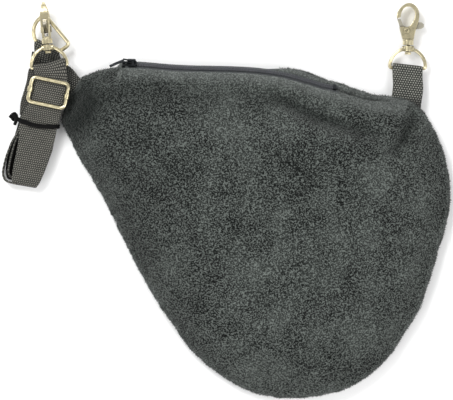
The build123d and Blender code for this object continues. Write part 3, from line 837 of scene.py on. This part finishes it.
# right tab: doubled webbing round the eye's bar, sewn into the corner seam
bar_right = (146.2 - 0.4, 121.6 - 15.5, 5.4)
right_tab = ribbon(
    "right_tab_webbing",
    turned(bar_right, -1.5, fold_stations(
        2.15, 12.0,
        [(0.2, -7, 2.2), (0.9, -16, 2.6), (-0.4, -28, 2.4), (-1.2, -38, 1.6)],
        [(-1.2, -38, 0.0), (-0.4, -28, 0.6), (0.6, -16, 0.2), (0.2, -7, -1.4)], -5.0,
    )),
    1.25, TAB_WEAVE,
)
# painted shade where the tab runs down under the body's edge, and on its lower layer
shade_by(right_tab, lambda c: 0.75 * (1 - smooth(76, 85, c[:, 1])) + 0.5 * (c[:, 2] < 5.2))
piece(right_tab, "bag", "webbing", "right_tab", material=TAB_WEB)

# left tab: from the corner seam up to the D-ring, with a gathered loop round it
left_strip = ribbon(
    "left_tab_webbing",
    [(-112, 74, 6.6, 12.3, 50), (-122, 84.5, 6.2, 12.3, 44), (-130.5, 95, 5.6, 12.4, 30),
     (-136.5, 105, 5.8, 12.4, 6), (-140.5, 112.5, 6.0, 12.2, -14),
     (-142.8, 118.2, 7.2, 11.6, -22), (-143.4, 122.2, 7.4, 11.0, -25),
     (-142.6, 124.6, 5.4, 10.6, -26), (-143.4, 122.4, 2.6, 10.6, -26), (-143.6, 118, 1.6, 11.4, -24),
     (-140.5, 111, 2.4, 12, -10), (-136, 103, 3.0, 12.2, 12), (-129.5, 94, 3.6, 12.3, 34)],
    1.2, TAB_WEAVE,
)
# painted shade over the tab, darker on its lower layer
shade_by(left_strip, lambda c: 0.3 + 0.5 * (c[:, 2] < 3.6))
piece(left_strip, "bag", "webbing", "left_tab", material=TAB_WEB)

# strap: loop through the left eye, under the adjuster's frame and over its bar
EYE_BAR = (-141.1, 106.8, 12.8)
ADJUSTER_BAR = (-141.6, 85.8, 11.1)
FOLD = 2.15


def crumple(v):
    """The fold rides up at the right of the eye."""
    near = np.exp(-(((v[:, :, 1] - 109.5) / 8.0) ** 2)) * (v[:, :, 2] > 9)
    rise = 3.6 * np.clip((v[:, :, 0] + 144) / 15, 0, 1) ** 1.2
    v[:, :, 1] += near * rise
    return v


run_strap = ribbon(
    "strap_front_run",
    [(-143.6, 84, 10.6, 12.3, -8), (-142.7, 95, 10.6, 12.5, -2)]
    + turned(EYE_BAR, 5.2, fold_stations(FOLD, 12.7, [], []))
    + [(-140.0, 101, 15.0, 13.0, -3), (-139.7, 95, 14.9, 12.9, -9), (-141.6, 85.8, 14.9, 12.8, -12),
       (-143.9, 76, 14.9, 13.4, -12), (-146.2, 69.5, 13.6, 14.4, -12), (-148.6, 64.5, 11.8, 15.0, -11),
       (-150.0, 60, 11.1, 15.1, -10), (-150.9, 52.5, 10.9, 14.6, -10), (-153.3, 40.1, 10.9, 13.7, -10),
       (-157.4, 25.6, 10.5, 12.7, -10), (-159.9, 17.0, 9.2, 11.6, -10), (-161.2, 12.9, 7.2, 10.2, -10),
       (-161.5, 11.9, 5.4, 9.4, -10), (-160.8, 13.6, 3.9, 9.8, -10), (-158.4, 20, 3.5, 11.0, -10)],
    1.15, STRAP_WEAVE, bend=crumple,
)
# painted shade on the loop's lower layer near the eye and adjuster, and where the strap's end turns under
shade_by(run_strap, lambda c: 0.8 * ((c[:, 2] < 11.6) & (c[:, 1] > 78)) + 0.7 * (c[:, 2] < 7.0))
piece(run_strap, "strap", "webbing", "strap_run", material=STRAP_WEB)

# the folded length under it: flat layers, and the outer turns standing on edge at the left; all in painted
# shade, the bottom layer darkest
FLAT_LAYERS = [(8.6, 0.0, 14.3), (6.3, 0.5, 14.0), (4.2, -0.4, 14.2)]
for number, (z, over, width) in enumerate(FLAT_LAYERS):
    layer = ribbon(
        f"strap_fold_{number + 1}",
        [(-147.4 + over, 68, z, width - 1, -12), (-150.6 + over, 58, z, width, -10),
         (-153.0 + over, 42, z, width - 0.8, -10), (-157.0 + over, 27, z, width - 1.8, -10),
         (-159.6 + over, 17.5, z * 0.85 + 0.8, width - 3.2, -10)],
        1.1, STRAP_WEAVE, shade=0.35,
    )
    piece(layer, "strap", "webbing", *(("strap_folds",) if number == 0 else ()), material=STRAP_WEB)
bottom_layer = ribbon(
    "strap_fold_bottom",
    [(-150.4, 66, 2.3, 14.6, -11), (-154.6, 46, 2.3, 16.2, -11), (-158.6, 34, 2.3, 16.2, -11),
     (-161.7, 24, 2.3, 15.4, -11), (-164.0, 16.6, 2.3, 12.2, -10), (-164.4, 15.0, 2.3, 10.0, -10)],
    1.1, STRAP_WEAVE, shade=0.85,
)
piece(bottom_layer, "strap", "webbing", material=STRAP_WEB)
outer_turn = ribbon(
    "strap_turn_outer",
    [(-163.4, 70, 6.6, 3.4, 0), (-164.6, 62, 6.2, 3.9, 0), (-166.2, 55.5, 6.2, 4.0, 0),
     (-171.2, 47, 6.0, 4.2, 0), (-175.8, 35, 6.0, 4.4, 0), (-178.1, 26, 6.0, 4.4, 0),
     (-178.5, 20.5, 6.0, 4.3, 0), (-176.8, 16.2, 5.8, 4.0, 0), (-172.6, 14.2, 5.4, 3.4, 0),
     (-167.0, 13.0, 4.8, 2.6, 0)],
    1.5, STRAP_WEAVE, on_edge=True, shade=0.1,
)
inner_turn = ribbon(
    "strap_turn_inner",
    [(-161.6, 69, 6.6, 3.0, 0), (-162.8, 61, 6.3, 3.4, 0), (-164.2, 55.5, 6.2, 3.6, 0),
     (-168.2, 48, 6.2, 3.8, 0), (-171.4, 38, 6.2, 3.9, 0), (-173.6, 28, 6.0, 3.9, 0),
     (-174.2, 22.5, 5.9, 3.7, 0), (-172.8, 19.0, 5.6, 3.2, 0), (-169.4, 17.8, 5.2, 2.6, 0)],
    1.4, STRAP_WEAVE, on_edge=True, shade=0.2,
)
for obj in (outer_turn, inner_turn):
    piece(obj, "strap", "webbing", material=STRAP_WEB)

# the tab's outer edge, showing left of the eye, in painted shade
tab_side = ribbon(
    "left_tab_side",
    [(-153.4, 119, 8.6, 2.0, -6), (-152.6, 113, 8.2, 3.4, -5),
     (-151.6, 106, 6.2, 4.6, -4), (-150.0, 99, 5.0, 5.6, -4)],
    1.1, TAB_WEAVE, shade=0.3,
)
piece(tab_side, "bag", "webbing", material=STRAP_WEB)

# back layer of the loop, showing at the left, in painted shade
back_run = ribbon(
    "strap_back_run",
    [(-149.2, 105, 8.6, 8.6, -4), (-148.2, 100, 8.5, 10.6, -5), (-147.6, 95, 8.3, 11.9, -6),
     (-148.7, 88, 8.0, 12.6, -9), (-151.2, 76, 8.0, 13.4, -11), (-151.8, 66, 8.4, 13.6, -11)],
    1.1, STRAP_WEAVE, shade=0.3,
)
piece(back_run, "strap", "webbing", material=STRAP_WEB)

# sewn end round the adjuster's bar, in painted shade
sewn = ribbon(
    "strap_end_sewn",
    turned(ADJUSTER_BAR, -12, fold_stations(2.2, 12.6, [(0, -3, 2.1)], [(0, -7, -0.6), (0, -3, -1.9)])),
    1.1, STRAP_WEAVE, shade=0.35,
)
piece(sewn, "adjuster", "webbing", "strap_sewn_end", material=STRAP_WEB)

# ---- tie -----------------------------------------------------------------------------
TIE_ROUND = [(-17.9, 3), (-18.4, 7), (-17.6, 11.4), (-12, 12.4), (-4, 12.6), (5, 12.6), (13, 12.4),
             (17.2, 11.2), (18.2, 7), (17.4, 2.6), (10, 1.4), (-1, 1.3), (-11, 1.4)]
TIE_CENTRE = (-151.2, 61.6)
TIE_TURN = math.radians(-10)

tie_points = []
for x, z in TIE_ROUND:
    sag = -2.6 * math.cos(x / 18 * math.pi / 2)
    tie_points.append((
        TIE_CENTRE[0] + x * 0.94 * math.cos(TIE_TURN) - sag * math.sin(TIE_TURN),
        TIE_CENTRE[1] + x * math.sin(TIE_TURN) + sag * math.cos(TIE_TURN), z,
    ))
tie = tube("tie_band", spline(tie_points, 0.6, closed=True), 1.15, 12, closed=True, lump=0.16, seed=6.0)
second = tube(
    "tie_second_turn", spline([(x + 0.3, y + 1.5, z + 0.1) for x, y, z in tie_points], 0.6, closed=True),
    0.9, 12, closed=True, lump=0.16, seed=9.0,
)
knot_line = [(-169, 61, 9), (-167.5, 64.5, 12.4), (-169.4, 67.4, 12.6), (-171.2, 66.4, 10),
             (-169.6, 64.4, 7.8), (-167.8, 66.6, 8.6), (-168.6, 69.2, 10.8), (-171, 68.2, 12.0),
             (-172.8, 66.2, 11.4)]
knot = tube("tie_knot", spline(knot_line, 0.5), 1.35, 12, lump=0.22, seed=12.0)
for obj in (tie, second, knot):
    piece(obj, "tie", "tie", *(("strap_tie",) if obj is tie else ()), material=ELASTIC)


# ---- zip -----------------------------------------------------------------------------
LOOP = [(-0.35, 0.15), (0.0, 0.75), (0.8, 0.95), (1.9, 0.85),
        (2.35, 0.2), (1.9, -0.5), (0.8, -0.7), (0.0, -0.5)]
LOOP_CENTRE = (1.0, 0.15)
LOOP_SLICES = [(-0.42, 0.72), (0.0, 1.0), (0.42, 0.72)]    # place along the zip, and size
TAPE_PROFILE = [(1.2, -0.6), (2.2, -0.5), (3.2, -0.45), (4.3, -0.55), (4.3, -1.1), (2.8, -1.1), (1.2, -1.1)]


def coil_row(name, sign):
    """One side of the nylon coil: separate loops that lean into the other side."""
    verts, faces = [], []
    coil_line = zip_line[zip_line[:, 0] < ZIP_STOP_X]
    for i in np.arange(2 if sign > 0 else 3, len(coil_line) - 1, 2):
        origin, t, u, n = coil_line[i], zip_t[i], zip_u[i] * sign, zip_n[i]
        faces += skin(len(LOOP_SLICES), len(LOOP), base=len(verts), flip=sign < 0)
        for offset, grow in LOOP_SLICES:
            for a, b in LOOP:
                out = LOOP_CENTRE[0] + (a - LOOP_CENTRE[0]) * grow
                up = LOOP_CENTRE[1] + (b - LOOP_CENTRE[1]) * grow
                verts.append(origin + t * offset + u * out + n * up)
    return new_mesh(name, verts, faces)


def tape_strip(name, sign):
    """One side's ribbed tape, below the coil."""
    line = zip_line[zip_line[:, 0] < ZIP_STOP_X + 5]
    count = len(line)
    rib = 0.08 * np.sin(np.arange(count) * 2.1)
    verts = []
    for a, b in TAPE_PROFILE:
        verts.append(line + zip_u[:count] * (sign * a) + zip_n[:count] * (b + rib)[:, None])
    v = np.stack(verts, 1).reshape(-1, 3)
    return new_mesh(name, v, skin(count, len(TAPE_PROFILE), capped=False, flip=sign > 0))


for side, sign in (("front", -1), ("back", 1)):
    piece(coil_row(f"zip_teeth_{side}", sign), "bag", "zip_plastic", f"zip_coil_{side}", material=COIL)
    piece(tape_strip(f"zip_tape_cloth_{side}", sign), "bag", "zip_tape", f"zip_tape_{side}", material=TAPE)

# ---- carried-over CAD nodes ----------------------------------------------------------
for name, obj in nodes.items():
    if name.endswith("_gate"):
        finish = GATE
    elif name.endswith("_spring"):
        finish = SPRING
    elif name.startswith("zip_"):
        finish = ZIP_BLACK
    elif name.endswith("_lining"):
        finish = LINING
    elif name.endswith("_wadding"):
        finish = WADDING
    else:
        finish = BRASS
    obj.data.materials.clear()
    obj.data.materials.append(finish)

# ---- floor, light and camera ---------------------------------------------------------
FAR = 1500
floor = new_mesh("floor", [(-FAR, -FAR, 0), (FAR, -FAR, 0), (FAR, FAR, 0), (-FAR, FAR, 0)], [(0, 1, 2, 3)])
floor_nodes = Nodes("floor_white")
floor.data.materials.append(floor_nodes.surface(rgb(0.9, 0.9, 0.9), 0.9, specular=0.1))


def soft_light(name, place, size, power, aim=(0, 0, 0)):
    lamp = bpy.data.lights.new(name, "AREA")
    lamp.shape = "RECTANGLE"
    lamp.size, lamp.size_y = size
    lamp.energy = power
    obj = bpy.data.objects.new(name, lamp)
    obj.location = place
    obj.rotation_euler = (Vector(aim) - Vector(place)).to_track_quat("-Z", "Y").to_euler()
    bpy.context.scene.collection.objects.link(obj)
    return obj


soft_light("key", (-0.75, 1.0, 1.15), (0.8, 0.8), 26)
soft_light("fill", (1.1, -0.5, 1.1), (1.0, 1.0), 15)
soft_light("low_left", (-0.9, -0.9, 1.0), (0.8, 0.8), 9)
world = bpy.data.worlds.new("studio")
bpy.context.scene.world = world
world.use_nodes = True
sky = world.node_tree.nodes["Background"]
sky.inputs["Color"].default_value = (1, 1, 1, 1)
sky.inputs["Strength"].default_value = 0.5

DISTANCE = 2.2
PICTURE_WIDTH = 0.3624
PICTURE_CENTRE = (0.56, 0.16)         # in the drawing frame, in millimetres
FOCUS_HEIGHT = 0.012
SENSOR = 36
lens = bpy.data.cameras.new("camera")
lens.sensor_width = SENSOR
lens.lens = SENSOR * (DISTANCE - FOCUS_HEIGHT) / PICTURE_WIDTH
camera = bpy.data.objects.new("camera", lens)
camera.location = (*((PICTURE_CENTRE + SHIFT[:2]) * MM), DISTANCE)
bpy.context.scene.collection.objects.link(camera)
bpy.context.scene.camera = camera
bpy.context.scene.view_settings.view_transform = "Standard"
